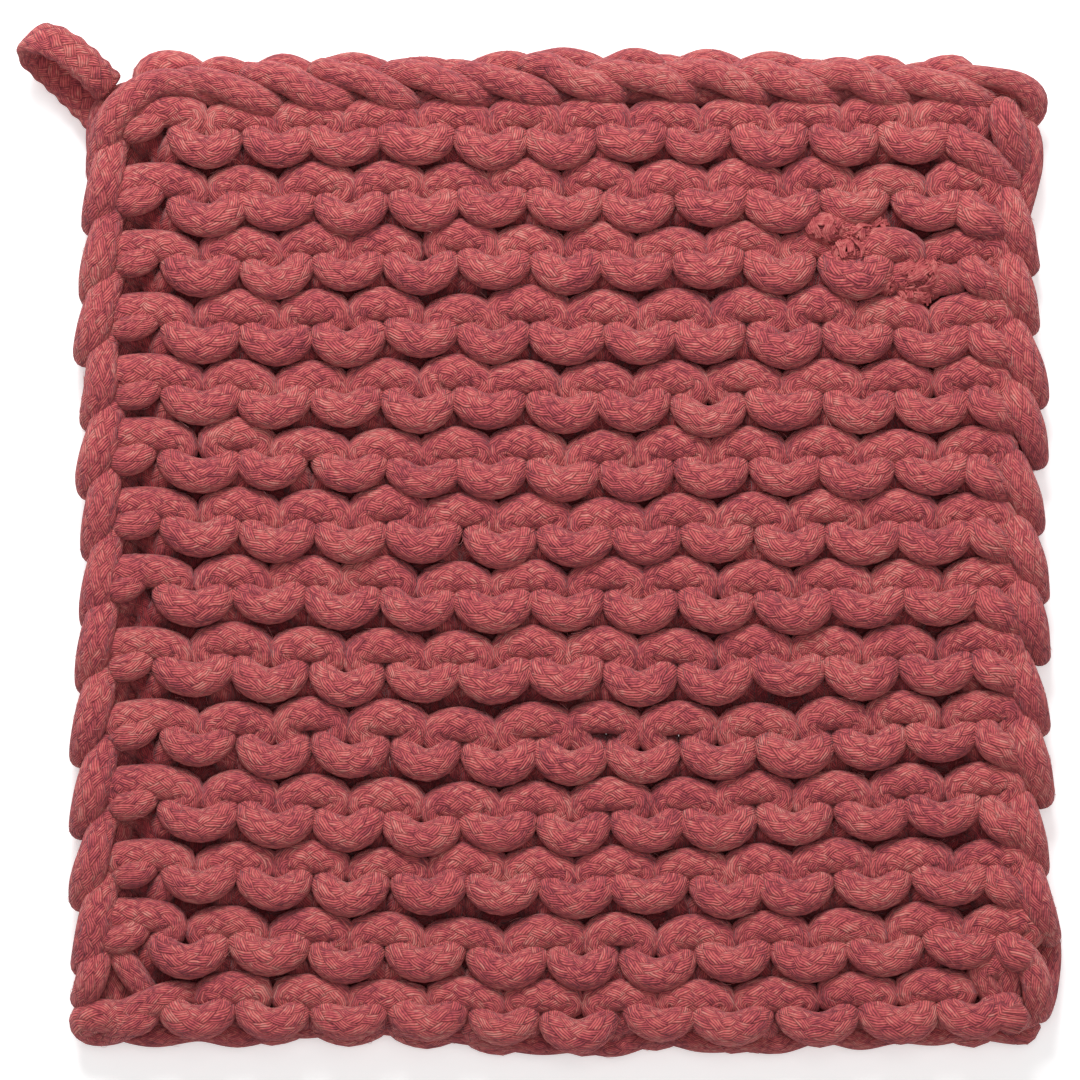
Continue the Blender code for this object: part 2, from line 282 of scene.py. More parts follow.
RIGHT_TURN_LOW = (
    (1.6, -2.0, 10.8, 3.0), (2.8, -6.0, 11.0, 3.1), (3.2, -9.8, 9.6, 3.1), (3.4, -12.2, 6.6, 2.8),
    (4.6, -8.0, 4.6, 2.6), (4.8, -2.0, 3.4, 2.7), (4.0, 4.0, 3.1, 2.7),
)
RIGHT_KNOB = (
    (2.2, -0.2, 8.0, 2.8), (4.6, 0.6, 5.4, 2.6), (5.8, 3.4, 4.4, 2.5), (4.6, 7.4, 3.4, 2.5),
    (2.0, 8.6, 3.1, 2.5),
)
# The next two are at real places: across, up the cloth, height and thickness.
LEFT_KNOB = (
    # the slanting strand and the corner knob, from the second loop of the bottom row to the small bump
    (-74.0, -86.4, 8.6, 2.7), (-78.0, -86.8, 10.2, 3.1), (-83.0, -88.6, 10.6, 3.2), (-88.5, -90.8, 9.8, 3.2),
    (-93.8, -91.0, 8.8, 3.5), (-95.8, -92.6, 7.2, 3.6), (-94.8, -94.6, 5.8, 3.1), (-91.0, -94.6, 6.4, 2.9),
)
TUCKED_STRAND = (
    (-90.0, -75.6, 6.6, 2.3), (-88.2, -79.0, 9.0, 2.7), (-86.0, -82.4, 9.6, 2.8), (-83.4, -86.0, 8.4, 2.6),
    (-81.4, -88.8, 5.6, 2.3),
)


def turn_points(end, side, shape, reach):
    """The turn at one side, stretched so that it reaches the edge of the ridge."""
    stretch = reach / max(out for out, _, _, _ in shape)
    return [(end[0] + side * out * stretch, end[1] + up, height, radius) for out, up, height, radius in shape]


def catmull_rom(points, step):
    """A smooth curve through the points, sampled about every step. Each point is x, y, z and radius."""
    points = np.array(points, float)
    ends = np.vstack([2 * points[0] - points[1], points, 2 * points[-1] - points[-2]])
    out = []
    for before, start, end, after in zip(ends, ends[1:], ends[2:], ends[3:]):
        count = max(2, round(np.linalg.norm((end - start)[:3]) / step))
        for t in np.arange(count) / count:
            out.append(
                start + (end - before) * t / 2
                + (2 * before - 5 * start + 4 * end - after) * t ** 2 / 2
                + (3 * start - before - 3 * end + after) * t ** 3 / 2
            )
    out.append(points[-1])
    return np.array(out)


print("a turn at the left is drawn by", len(LEFT_TURN), "points")


# %% [markdown]
# ## The rows
# Each ridge takes two rows: its frowns, then its smiles. At the third ridge the maker joined a new
# length of yarn: one loop is larger than the rest, and the loops under the frayed ends are pressed small.

# %% The rows of loops
STEP = 1.05  # between two points of the route
RIDGE_STEP = 13.5  # between two ridges, where the knitting is even
STRETCH = 0.6  # how much of a wider step goes into the frowns
ACROSS_SPREAD = 0.4  # how uneven the feet's places across are
SMILE_SPREAD = 0.35  # how uneven the feet of the smiles are, up the cloth
FROWN_SPREAD = 0.3  # and the heads of the frowns
END_RISE = (3.2, 6.0)  # how much higher the left end of a row is tied in, for smiles and for frowns
TUCK_POINTS = 9  # the yarn comes up into the first smile over this many points
TUCK_SINK = 1.0  # and starts this much lower
TUCK_THINNER = 0.6  # and this much thinner
JOIN_CHANGES = (
    # ridge, row, stitch, samples it reaches, then what is added: across, up, height, thickness
    (1, "smile", 10.0, 11.0, 0.0, 2.0, -0.5, -0.2),
    (2, "smile", 10.0, 11.0, 1.4, -1.2, 0.8, 0.8),
    (2, "smile", 11.0, 9.0, 2.0, -0.6, -2.0, -0.6),
    (2, "frown", 9.5, 9.0, 0.0, 0.0, -0.7, -0.3),
    (2, "frown", 10.5, 10.0, -0.6, -0.4, 1.0, 0.3),
)
BOTTOM = len(RIDGES) - 1
BOTTOM_INSET = (2.4, 3.6)  # the bottom row is this much shorter at the left and at the right
BOTTOM_FEET_DROP = 2.0  # the feet of its frowns lie this much below its ridge, on the cast-on strand
BOTTOM_SMILE_RISE = 1.2  # and its smiles this much higher than in other rows
CORNER_RISE = 5.0  # its last frown reaches this much higher
# The bottom row isn't straight: how much higher it lies at some places across, and how much of that
# its frowns and its smiles take up.
BOTTOM_BOW_PLACES = (-95, -62, -44, -28, -16, -6, 2, 10, 22, 32, 42, 70, 92)
BOTTOM_BOW = (0.2, 2.2, 2.6, 2.0, 0.4, -1.0, -1.0, 0.4, 0.0, -1.4, 0.0, 0.4, 1.0)
FROWN_BOW, SMILE_BOW = 0.6, 0.35

rows = []
for number, ridge in enumerate(RIDGES):
    across, along = feet_of(ridge)
    if number == BOTTOM:
        across[0] += BOTTOM_INSET[0]
        across[-1] -= BOTTOM_INSET[1]
    across = across + chance.normal(0, ACROSS_SPREAD, len(across))
    frown_across = across.copy()
    frown_across[0] -= FROWN_REACH[0]
    front_feet = along - SMILE_DROP + chance.normal(0, SMILE_SPREAD, len(across))
    back_heads = front_feet[:-1] + LOOP_RISE
    above = feet_of(RIDGES[number - 1])[1] if number else along + RIDGE_STEP
    tops = along + FROWN_RISE + STRETCH * (above - along - RIDGE_STEP)
    front_heads = (tops[:-1] + tops[1:]) / 2 + chance.normal(0, FROWN_SPREAD, len(across) - 1)
    if number == BOTTOM:
        bow = np.interp(across, BOTTOM_BOW_PLACES, BOTTOM_BOW)
        back_feet = along - BOTTOM_FEET_DROP + FROWN_BOW * bow
        front_heads[-1] += CORNER_RISE
        front_feet += BOTTOM_SMILE_RISE + SMILE_BOW * bow
    else:
        frown_across[-1] += FROWN_REACH[1]
        back_feet = along + FROWN_RISE - LOOP_RISE
        front_feet[0] += END_RISE[0]
        back_feet[0] += END_RISE[1]
    frowns = loop_row(frown_across, back_feet, front_heads, -1, FROWN_SHAPE)
    frowns = lift(frowns, -1, FROWN_DEPTHS, FROWN_DIVE, FROWN_LEG)
    smiles = loop_row(across, front_feet, back_heads, 1, SMILE_SHAPE)
    smiles = lift(smiles, 1, SMILE_DEPTHS, SMILE_DIVE, SMILE_LEG)
    tuck = np.clip(1 - np.arange(len(smiles)) / TUCK_POINTS, 0, 1)
    smiles[:, 2] -= TUCK_SINK * tuck
    smiles[:, 3] -= TUCK_THINNER * tuck
    for changed, row, middle, reach, sideways, up, height, radius in JOIN_CHANGES:
        if changed == number:
            points = frowns if row == "frown" else smiles
            near = np.exp(-((np.arange(len(points)) - middle * SAMPLES) / reach) ** 2)
            points += near[:, None] * (sideways, up, height, radius)
    rows.append((ridge, frowns, smiles))
print(len(rows), "ridges of", BUMPS, "whole bumps")

# %% [markdown]
# ## The two ends of the knitting
# Knitting starts with a row of loops cast on along one strand, which shows as a wavy strand along the
# bottom. It ends with a chain along the top: each link is a hairpin that leans over the next one, with
# one leg on the face and one at the back. The last strand of the chain bends round the corner.

# %% The cast-on strand
def cast_on(feet, along):
    """The strand under the bottom row, from left to right: across, up, height and thickness."""
    heads = heads_between(feet)
    points = [(feet[0] - 5.4, along[0] + 3.6, 3.6, 1.8), (feet[0] - 4.0, along[0] + 0.6, 4.6, 2.0)]
    for foot, head, height in zip(feet, heads, along):
        height += np.interp(foot, BOTTOM_BOW_PLACES, BOTTOM_BOW)
        points.append((foot, height - 2.3, 5.8, 2.2))
        points.append((head, height - 3.2, 5.0, 2.4))
    points.append((feet[-1] - 2.6, along[-1] - 3.0, 5.0, 2.3))
    points.append((feet[-1] - 1.0, along[-1] - 2.0, 3.6, 2.2))
    return points


bottom_feet, bottom_along = feet_of(RIDGES[BOTTOM])
cast_on_strand = cast_on(bottom_feet, bottom_along)
print("the cast-on strand is drawn by", len(cast_on_strand), "points")

# %% The chain and the corners
# How much higher the chain lies than a straight line, at some places across.
TOP_BOW_PLACES = (-75, -55, -40, -22, -10, 2, 8, 40, 66, 80)
TOP_BOW = (-1.6, -1.4, -0.2, -0.7, -0.5, 1.0, 1.1, 0.0, -1.2, -1.4)
LINK_SPREAD = 0.25  # how uneven the links are, up the cloth
LINK = (
    # across from the head of a loop, up the cloth, height, radius
    (6.6, 93.2, 7.8, 2.4), (4.0, 93.8, 10.2, 2.9), (0.0, 95.2, 11.2, 3.1), (-5.0, 96.9, 11.3, 3.0),
    (-9.2, 98.0, 10.6, 2.8), (-12.2, 98.2, 8.8, 2.6), (-13.2, 98.0, 6.6, 2.5), (-11.0, 98.8, 4.6, 2.7),
    (-6.0, 100.0, 4.4, 2.9), (-1.0, 99.0, 4.4, 2.6), (2.6, 96.6, 5.2, 2.3), (1.0, 94.6, 6.4, 2.2),
    (-4.0, 93.6, 6.8, 2.2),
)
TOP_RIGHT = (
    # the slanting end of the first ridge, the post beside it, and the strand that hooks over the post
    (84.4, 80.0, 10.6, 3.4), (87.6, 77.2, 9.2, 3.1), (90.6, 76.0, 6.4, 2.7), (91.6, 78.2, 6.8, 2.9),
    (90.2, 81.4, 9.2, 3.3), (89.4, 85.2, 10.6, 3.5), (88.8, 88.4, 11.0, 3.4), (88.4, 90.4, 9.4, 3.0),
    (88.8, 90.6, 6.0, 2.4), (90.6, 89.0, 4.6, 2.4), (92.8, 88.8, 5.2, 2.5), (94.4, 91.0, 7.0, 2.6),
    (93.8, 93.6, 8.8, 2.7), (91.0, 95.8, 9.8, 2.6), (87.0, 97.0, 10.2, 2.4), (82.6, 97.4, 9.8, 2.5),
    (79.0, 97.4, 7.4, 2.5), (79.6, 95.2, 5.6, 2.3),
)
TOP_LEFT = (
    (-71.0, 93.8, 9.0, 2.4), (-75.6, 96.0, 10.6, 2.7), (-81.4, 96.2, 11.0, 3.0), (-86.6, 93.2, 11.2, 3.3),
    (-90.2, 88.8, 11.2, 3.4), (-92.0, 84.6, 10.4, 3.2), (-93.2, 79.6, 8.0, 2.9), (-92.8, 76.4, 5.2, 2.6),
    (-90.0, 78.4, 3.4, 2.5), (-86.0, 81.0, 3.1, 2.4),
)
OUTER_LEFT = (
    (-84.6, 95.0, 6.4, 2.0), (-88.8, 93.6, 6.6, 2.2), (-92.2, 90.6, 6.2, 2.4), (-93.2, 86.0, 5.8, 2.4),
    (-92.8, 80.6, 5.2, 2.3), (-90.4, 77.0, 4.6, 2.2),
)
OUTER_RIGHT = (
    (83.6, 94.2, 4.6, 2.4), (88.4, 93.6, 4.8, 2.5), (90.6, 89.4, 5.8, 2.6), (93.2, 85.6, 7.0, 2.8),
    (93.8, 80.6, 7.0, 2.8), (93.0, 75.6, 6.4, 2.7), (91.4, 69.0, 5.4, 2.5),
)


def chain(heads):
    """The bound-off chain, from right to left, one link to a head."""
    points = list(TOP_RIGHT)
    for head in heads[:0:-1]:
        bow = np.interp(head, TOP_BOW_PLACES, TOP_BOW)
        for out, up, height, radius in LINK:
            points.append((head + out, up + bow + chance.normal(0, LINK_SPREAD), height, radius))
    return points + list(TOP_LEFT)


chain_points = chain(heads_between(top_feet))
print("the chain is drawn by", len(chain_points), "points")

# %% [markdown]
# ## The whole yarn
# The rows are followed from the bottom up, from right to left in the frowns and back in the smiles, with
# a turn at each side. Then the route wanders a little, as no maker pulls each loop to the same size.

# %% The whole yarn, from the cast-on strand to the last link of the chain
KNOB_START = SAMPLES + 9  # the point of the bottom row where its slanting strand leaves it
PAST_EDGE = (0.7, 0.9)  # how far the turns go past the left and the right edge of a ridge
WANDER = (
    # column of the route, how far it wanders, and over how many points
    (0, 0.42, 11), (1, 0.42, 11), (2, 0.25, 8), (3, 0.16, 11),
)
CLEARANCE = 0.05  # the yarn stays this far above the table


def smooth_noise(count, spacing, rng):
    """Random values that change smoothly, with a new one at each spacing."""
    knots = rng.normal(0, 1, count // spacing + 4)
    places = np.arange(count) / spacing
    start = places.astype(int)
    share = places - start
    share = share * share * (3 - 2 * share)
    return knots[start] * (1 - share) + knots[start + 1] * share


def step_lengths(route):
    """The distance from each point of a route to the next, in millimetres."""
    return np.linalg.norm(np.diff(route[:, :3], axis=0), axis=1)


route = [catmull_rom(cast_on_strand + [rows[BOTTOM][1][-1]], STEP)[:-1]]
for number in range(BOTTOM, -1, -1):
    ridge, frowns, smiles = rows[number]
    edge_left, edge_right = ridge[3], ridge[7]
    if number == BOTTOM:
        route.append(frowns[:KNOB_START - 1:-1])
        route.append(catmull_rom([frowns[KNOB_START], *LEFT_KNOB, smiles[0]], STEP)[1:-1])
    else:
        shape = LEFT_TURN_LOW if number == BOTTOM - 1 else LEFT_TURN
        reach = smiles[0, 0] - edge_left + PAST_EDGE[0] - BAR_RADIUS
        turn = turn_points(smiles[0], -1, shape, reach)[::-1]
        route.append(frowns[::-1])
        route.append(catmull_rom([frowns[0], *turn, smiles[0]], STEP)[1:-1])
    route.append(smiles)
    if number:
        shape = {BOTTOM: RIGHT_KNOB, BOTTOM - 1: RIGHT_TURN_LOW}.get(number, RIGHT_TURN)
        reach = edge_right + PAST_EDGE[1] - smiles[-1, 0] - BAR_RADIUS
        turn = turn_points(smiles[-1], 1, shape, reach)
        route.append(catmull_rom([smiles[-1], *turn, rows[number - 1][1][-1]], STEP)[1:-1])
route.append(catmull_rom([rows[0][2][-1], *chain_points], STEP)[1:])
route = np.vstack(route)
for column, amount, spacing in WANDER:
    route[:, column] += smooth_noise(len(route), spacing, chance) * amount
route[:, 2] = np.maximum(route[:, 2], route[:, 3] * SQUASH + CLEARANCE)
yarn_length = step_lengths(route).sum() / 1000
print("the yarn has", len(route), "points and is", round(yarn_length, 2), "m long")


# %% [markdown]
# ## A tube along a route
# A flat grid is rolled into a tube: each row of the grid becomes a ring round the route. The grid brings
# its own UV map, which then tells the yarn's material how far along and how far round a point is.

# %% The tube
SEAM_GAP = 0.00001  # points nearer to each other than this, in metres, are welded


def unit(vector):
    """The same way, but 1 long."""
    return vector / np.linalg.norm(vector)


def rings_along(route, sides):
    """The points of a tube, as rings, with a frame that turns as little as it can along the route."""
    centres, radii = route[:, :3], route[:, 3]
    tangents = np.gradient(centres, axis=0)
    tangents /= np.linalg.norm(tangents, axis=1)[:, None]
    normal = unit(np.cross(tangents[0], (0, 0, 1.0)))
    angles = 2 * np.pi * np.arange(sides + 1) / sides
    rings = np.empty((len(route), sides + 1, 3))
    for number, tangent in enumerate(tangents):
        normal = unit(normal - tangent * normal.dot(tangent))
        other = np.cross(tangent, normal)
        circle = np.cos(angles)[:, None] * normal + np.sin(angles)[:, None] * other
        rings[number] = circle * radii[number]
    rings[:, :, 2] *= SQUASH
    return rings + centres[:, None, :]


def select_only(piece):
    """Select one object, after everything else is deselected."""
    bpy.ops.object.select_all(action="DESELECT")
    piece.select_set(True)
    bpy.context.view_layer.objects.active = piece


def tube(name, route, sides, length_before=0.0, rings=None):
    """A named mesh tube. Its UV map holds the share round it and the millimetres along it."""
    if rings is None:
        rings = rings_along(route, sides)
    steps = len(route) - 1
    bpy.ops.mesh.primitive_grid_add(x_subdivisions=sides, y_subdivisions=steps, size=1.0)
    piece = bpy.context.object
    piece.name = name
    piece.data.name = name
    mesh = piece.data
    mesh.vertices.foreach_set("co", (rings.reshape(-1) * MM).astype(np.float32))
    lengths = np.concatenate([[0], np.cumsum(step_lengths(route))])
    uv = np.empty(len(mesh.loops) * 2, np.float32)
    mesh.uv_layers[0].data.foreach_get("uv", uv)
    uv = uv.reshape(-1, 2)
    uv[:, 1] = np.interp(uv[:, 1] * steps, np.arange(len(lengths)), lengths) + length_before
    mesh.uv_layers[0].data.foreach_set("uv", uv.reshape(-1))
    mesh.uv_layers[0].name = "yarn"
    select_only(piece)
    bpy.ops.object.mode_set(mode="EDIT")
    bpy.ops.mesh.select_all(action="SELECT")
    bpy.ops.mesh.remove_doubles(threshold=SEAM_GAP)
    bpy.ops.mesh.select_all(action="DESELECT")
    bpy.ops.mesh.select_non_manifold()
    bpy.ops.mesh.edge_face_add()
    bpy.ops.mesh.select_all(action="SELECT")
    bpy.ops.mesh.normals_make_consistent(inside=False)
    bpy.ops.object.mode_set(mode="OBJECT")
    bpy.ops.object.shade_smooth()
    for face in mesh.polygons:
        # a smooth end cap would bend the light beside it
        face.use_smooth = face.loop_total == 4
    print(name, len(mesh.polygons), "faces,", round(lengths[-1]), "mm of yarn")
    return piece


# %% [markdown]
# ## The yarn you see
# The long tube is cut into three pieces, as one mesh would be too heavy. Its rings are worked out for
# the whole route first, so the braid runs on from piece to piece. Short strands fill three corners.

# %% The knitting and the corner strands
SIDES = 16
PIECES = 3

bounds = np.linspace(0, len(route) - 1, PIECES + 1).astype(int)
knit_pieces = []
travelled = 0.0
all_rings = rings_along(route, SIDES)
for number, (begin, end) in enumerate(zip(bounds, bounds[1:])):
    part = route[begin:end + 1]
    knit_pieces.append(tube(f"knitting_{number + 1}", part, SIDES, travelled, all_rings[begin:end + 1]))
    travelled += step_lengths(part).sum()


def add_strand(name, points, step, sides=SIDES, length_before=0.0):
    """A knitted piece that runs smoothly through a few points."""
    knit_pieces.append(tube(name, catmull_rom(points, step), sides, length_before))


add_strand("tucked_strand", TUCKED_STRAND, STEP)
add_strand("outer_strand_left", OUTER_LEFT, STEP)
add_strand("outer_strand_right", OUTER_RIGHT, STEP)

# %% [markdown]
# ## Hidden strands
# Real yarn swells until no light comes through the cloth, and hard tubes would leave small holes. Hidden
# strands inside the cloth close them: one behind the bottom row, one above the first ridge, two between
# each ridge and the next, and some along the two edges. They reach neither face.

# %% The strand behind the bottom row
CORE_STEP = 1.5  # between two points of a hidden strand
bottom_core = [
    (-90.4, -79.0, 4.6, 2.2), (-88.8, -83.4, 4.6, 2.5), (-91.4, -87.4, 4.6, 2.5), (-87.4, -90.0, 4.8, 2.3),
]
for foot, height in zip(bottom_feet, bottom_along):
    bottom_core.append((foot - 3.5, height + 0.6, 5.6, 2.5))
    bottom_core.append((foot + 3.5, height + 2.6, 5.9, 2.5))
add_strand("bottom_core", bottom_core[:-1], CORE_STEP)

# %% The strands between the ridges
INNER_SIDES = 8
INNER_STEP = 3.0
# ridge, how far above it up the cloth, height over the table and thickness
inner_places = [(0, 8.4, 4.8, 2.1)]
for number in range(BOTTOM):
    inner_places += [(number, -4.0, 4.2, 2.7), (number + 1, 1.4, 4.6, 2.4)]
for number, (ridge, up, height, radius) in enumerate(inner_places):
    across, along = feet_of(RIDGES[ridge])
    inner = [(foot, place + up, height, radius) for foot, place in zip(across, along)]
    add_strand(f"inner_strand_{number}", inner, INNER_STEP, INNER_SIDES)

# %% The strands along the edges
# columns of the table of ridges: the first bump, the right edge, and how far up each side is
FIRST_BUMP, RIGHT_EDGE, UP_LEFT, UP_RIGHT = 4, 7, 0, 2
EDGE_CORES = (
    # name, columns, how far across from there above and below a ridge, and height over the table
    ("edge_core_outer", FIRST_BUMP, UP_LEFT, -15.9, -15.9, 5.2),
    ("edge_core_left", FIRST_BUMP, UP_LEFT, -12.8, -9.6, 6.6),
    ("edge_core_middle", FIRST_BUMP, UP_LEFT, -8.2, -4.8, 4.6),
    ("edge_core_inner", FIRST_BUMP, UP_LEFT, -2.6, -0.6, 4.6),
    ("edge_core_right", RIGHT_EDGE, UP_RIGHT, -9.6, -13.2, 6.6),
)
CORE_RADIUS = 2.7
ABOVE_RIDGE, BELOW_RIDGE = 3.0, 3.6
for name, place, up, above, below, height in EDGE_CORES:
    core = []
    for ridge in RIDGES:
        core.append((ridge[place] + above, ridge[up] + ABOVE_RIDGE, height, CORE_RADIUS))
        core.append((ridge[place] + below, ridge[up] - BELOW_RIDGE, height, CORE_RADIUS))
    add_strand(name, core[:-1], CORE_STEP)


# %% [markdown]
# ## The hanging loop
# The loop is one strand of the same yarn, pressed flat. It leaves the corner on top, turns over at its
# tip and comes back under itself, so the same tube is given a wide, thin section that lies across the
# strand. Its route is the one that the solid model has.

# %% The hanging loop
LOOP_ROUTE = (
    (-90.95, 95.15, 8.6), (-93.2, 97.5, 11.4), (-96.2, 100.4, 12.5), (-99.8, 103.0, 12.6),
    (-103.6, 104.6, 11.6), (-106.2, 104.4, 9.0), (-105.8, 102.0, 6.0), (-103.2, 99.4, 4.6),
    (-99.9, 96.4, 4.2), (-96.7, 93.2, 4.2), (-93.6, 90.0, 4.6), (-90.6, 86.6, 5.0),
)
LOOP_ACROSS = np.array((0.69, 0.72, -0.08))  # the way across the flat strand
LOOP_HALF_WIDTH = 3.5
LOOP_HALF_HEIGHT = 1.5
LOOP_SIDES = 24
LOOP_STEP = 0.5  # between two points of its route
LOOP_ENDS = (0.8, 0.9)  # how blunt the oval is across and upwards; 1 is an even oval
SCALLOP = 0.05  # how much its width changes along its way
SCALLOP_TURN = 0.9  # radians of that wave from point to point


def ribbon_rings(route):
    """Rings of a flat strand: its section is an oval whose ends are a little blunt."""
    centres = route[:, :3]
    tangents = np.gradient(centres, axis=0)
    tangents /= np.linalg.norm(tangents, axis=1)[:, None]
    wide = LOOP_ACROSS - tangents * (tangents @ LOOP_ACROSS)[:, None]
    wide /= np.linalg.norm(wide, axis=1)[:, None]
    thick = np.cross(tangents, wide)
    angles = 2 * np.pi * np.arange(LOOP_SIDES + 1) / LOOP_SIDES
    sideways = np.sign(np.cos(angles)) * np.abs(np.cos(angles)) ** LOOP_ENDS[0] * LOOP_HALF_WIDTH
    upwards = np.sign(np.sin(angles)) * np.abs(np.sin(angles)) ** LOOP_ENDS[1] * LOOP_HALF_HEIGHT
    scallop = 1 + SCALLOP * np.sin(np.arange(len(route)) * SCALLOP_TURN)
    return (
        centres[:, None, :]
        + wide[:, None, :] * (sideways[None, :] * scallop[:, None])[:, :, None]
        + thick[:, None, :] * upwards[None, :, None]
    )


loop_route = catmull_rom([(*point, LOOP_HALF_WIDTH) for point in LOOP_ROUTE], LOOP_STEP)
hanging_loop = tube("hanging_loop_strand", loop_route, LOOP_SIDES, rings=ribbon_rings(loop_route))


# %% [markdown]
# ## The frayed ends of the join
# Where the yarn was joined its two cut ends have opened into short locks of threads, which lie over
# lumps of yarn. Each thread is a thin bent curve with a round bevel, and a curve becomes a closed mesh
# when it is converted with filled ends.

# %% One mesh of many threads
def threads(name, paths, radius, roundness=1):
    """Thin threads with closed ends. Each path is a list of points in millimetres."""
    curve = bpy.data.curves.new(name, "CURVE")
    curve.dimensions = "3D"
    curve.bevel_depth = radius * MM
    curve.bevel_resolution = roundness
    curve.use_fill_caps = True
    for path in paths:
        spline = curve.splines.new("POLY")
        spline.points.add(len(path) - 1)
        for point, place in zip(spline.points, path):
            point.co = (*(np.array(place) * MM), 1.0)
    piece = bpy.data.objects.new(name, curve)
    bpy.context.collection.objects.link(piece)
    select_only(piece)
    bpy.ops.object.convert(target="MESH")
    bpy.ops.object.shade_smooth()
    print(name, len(paths), "threads,", len(piece.data.polygons), "faces")
    return piece


# %% The frayed ends
THREAD_RADIUS = 0.26
THREAD_STEP = 0.44  # between the threads of a lock
THREAD_POINTS = 8
THREAD_SHARE = (0.75, 1.1)  # how long a thread is beside the others of its lock
LOCK_LENGTH = (2.2, 4.2)
LOCK_TURN = 0.6  # how far a lock may point away from its tuft's way
LOCK_PROUD = 0.5  # how far it may stand off the lump
LOCK_SAG = 1.6  # how fast its ends go back down to the lump
LOCK_CURVE = 3.0  # how strongly it bends to the side
CURL = 0.18  # how far its threads swing from side to side
CURL_TURNS = 7.0  # and how fast
FRAYED_ENDS = (
    # middle and size of each tuft, how many locks it has, and the way that most of them point
    ((53.0, 66.7, 10.4), (4.2, 2.9, 3.2), 36, (0.5, -0.7, 0.0)),
    ((59.2, 65.4, 10.4), (2.9, 2.2, 2.7), 24, (0.7, -0.5, 0.0)),
    ((63.2, 67.6, 9.0), (1.6, 0.9, 1.8), 7, (0.9, 0.3, 0.0)),
    ((57.4, 62.0, 12.4), (2.8, 1.9, 1.9), 14, (0.6, -0.8, 0.0)),
    ((71.0, 57.4, 9.8), (4.8, 3.5, 3.5), 46, (0.4, 0.8, 0.0)),
    ((70.6, 53.4, 9.0), (3.3, 2.0, 2.8), 18, (0.8, -0.5, 0.0)),
    ((64.9, 56.0, 10.2), (1.8, 2.6, 2.4), 13, (0.3, 0.8, 0.0)),
)


def locks(middle, size, count, lean):
    """Short locks of three threads, laid over an oval lump. lean is the way that most of them point."""
    paths = []
    size = np.array(size)
    for _ in range(count):
        turn = chance.uniform(0, 2 * np.pi)
        rise = chance.uniform(0.05, 1.0)
        flat = np.sqrt(1 - rise * rise)
        spot = np.array((flat * np.cos(turn), flat * np.sin(turn), rise))
        start = np.array(middle) + size * spot
        normal = unit(spot / size)
        way = np.array(lean) + chance.normal(0, LOCK_TURN, 3)
        way = unit(way - normal * way.dot(normal))
        side = np.cross(normal, way)
        length = chance.uniform(*LOCK_LENGTH)
        bend = chance.uniform(-1.0, 1.0)
        phase = chance.uniform(0, 6)
        proud = chance.uniform(0.0, LOCK_PROUD)
        for thread in (-1, 0, 1):
            reach = length * chance.uniform(*THREAD_SHARE)
            path = []
            for s in np.linspace(-0.5, 0.5, THREAD_POINTS):
                curl = CURL * np.sin(phase + CURL_TURNS * s)
                sideways = THREAD_STEP * thread + bend * s * s * LOCK_CURVE + curl
                path.append(start + way * reach * s + normal * (proud - LOCK_SAG * s * s) + side * sideways)
            paths.append(path)
    return paths


loose_threads = []
for middle, size, count, lean in FRAYED_ENDS:
    loose_threads += locks(middle, size, count, lean)
frayed_ends = threads("frayed_ends", loose_threads, THREAD_RADIUS)

# %% The lumps of yarn under them
LUMPS = (
    ((49.0, 65.8, 8.8, 2.6), (52.2, 66.8, 10.4, 3.2), (55.6, 66.6, 10.4, 3.1), (61.4, 65.4, 9.8, 2.5)),
    ((65.4, 55.4, 8.8, 2.6), (68.8, 57.6, 10.0, 3.4), (72.4, 57.0, 9.8, 3.4), (75.2, 54.0, 8.2, 2.5)),
    ((74.8, 56.8, 8.0, 1.8), (76.6, 57.6, 10.6, 2.1), (78.4, 56.4, 10.8, 2.2), (79.2, 54.6, 8.4, 1.8)),
)
LUMP_STEP = 0.6  # between two points of a lump
LUMP_SHIFT = 20.0  # each lump takes its braid from another stretch of the yarn
for number, lump in enumerate(LUMPS):
    add_strand(f"join_lump_{number + 1}", lump, LUMP_STEP, length_before=number * LUMP_SHIFT)


# %% [markdown]
# ## Loose fibres
# Worn cotton is fuzzy: short fibres stand a little off the yarn and soften its outline. A particle system
# could grow hair, but hair isn't a mesh. Here each fibre is a very thin thread of four points that starts
# on the yarn and follows its surface, a fraction of a millimetre above it.

# %% The fibres
FIBRES = 5200
FIBRE_RADIUS = 0.035
FIBRE_LENGTH = (1.0, 2.6)
FIBRE_RISE = (0.08, 0.42)  # how far a fibre stands off the yarn
FIBRE_BEND = 0.5  # how far it bends to the side
FIBRE_TURN = 0.8  # how far it may turn away from the yarn's way, in radians
FREE_SHARE = 0.5  # so many fibres have a free end; the others lie down again
LOWEST_FACING = -0.25  # none grows where the yarn faces further down than this
ROOT_DEPTH = 0.03  # how far its root is set into the yarn
fibre_chance = np.random.default_rng(23)


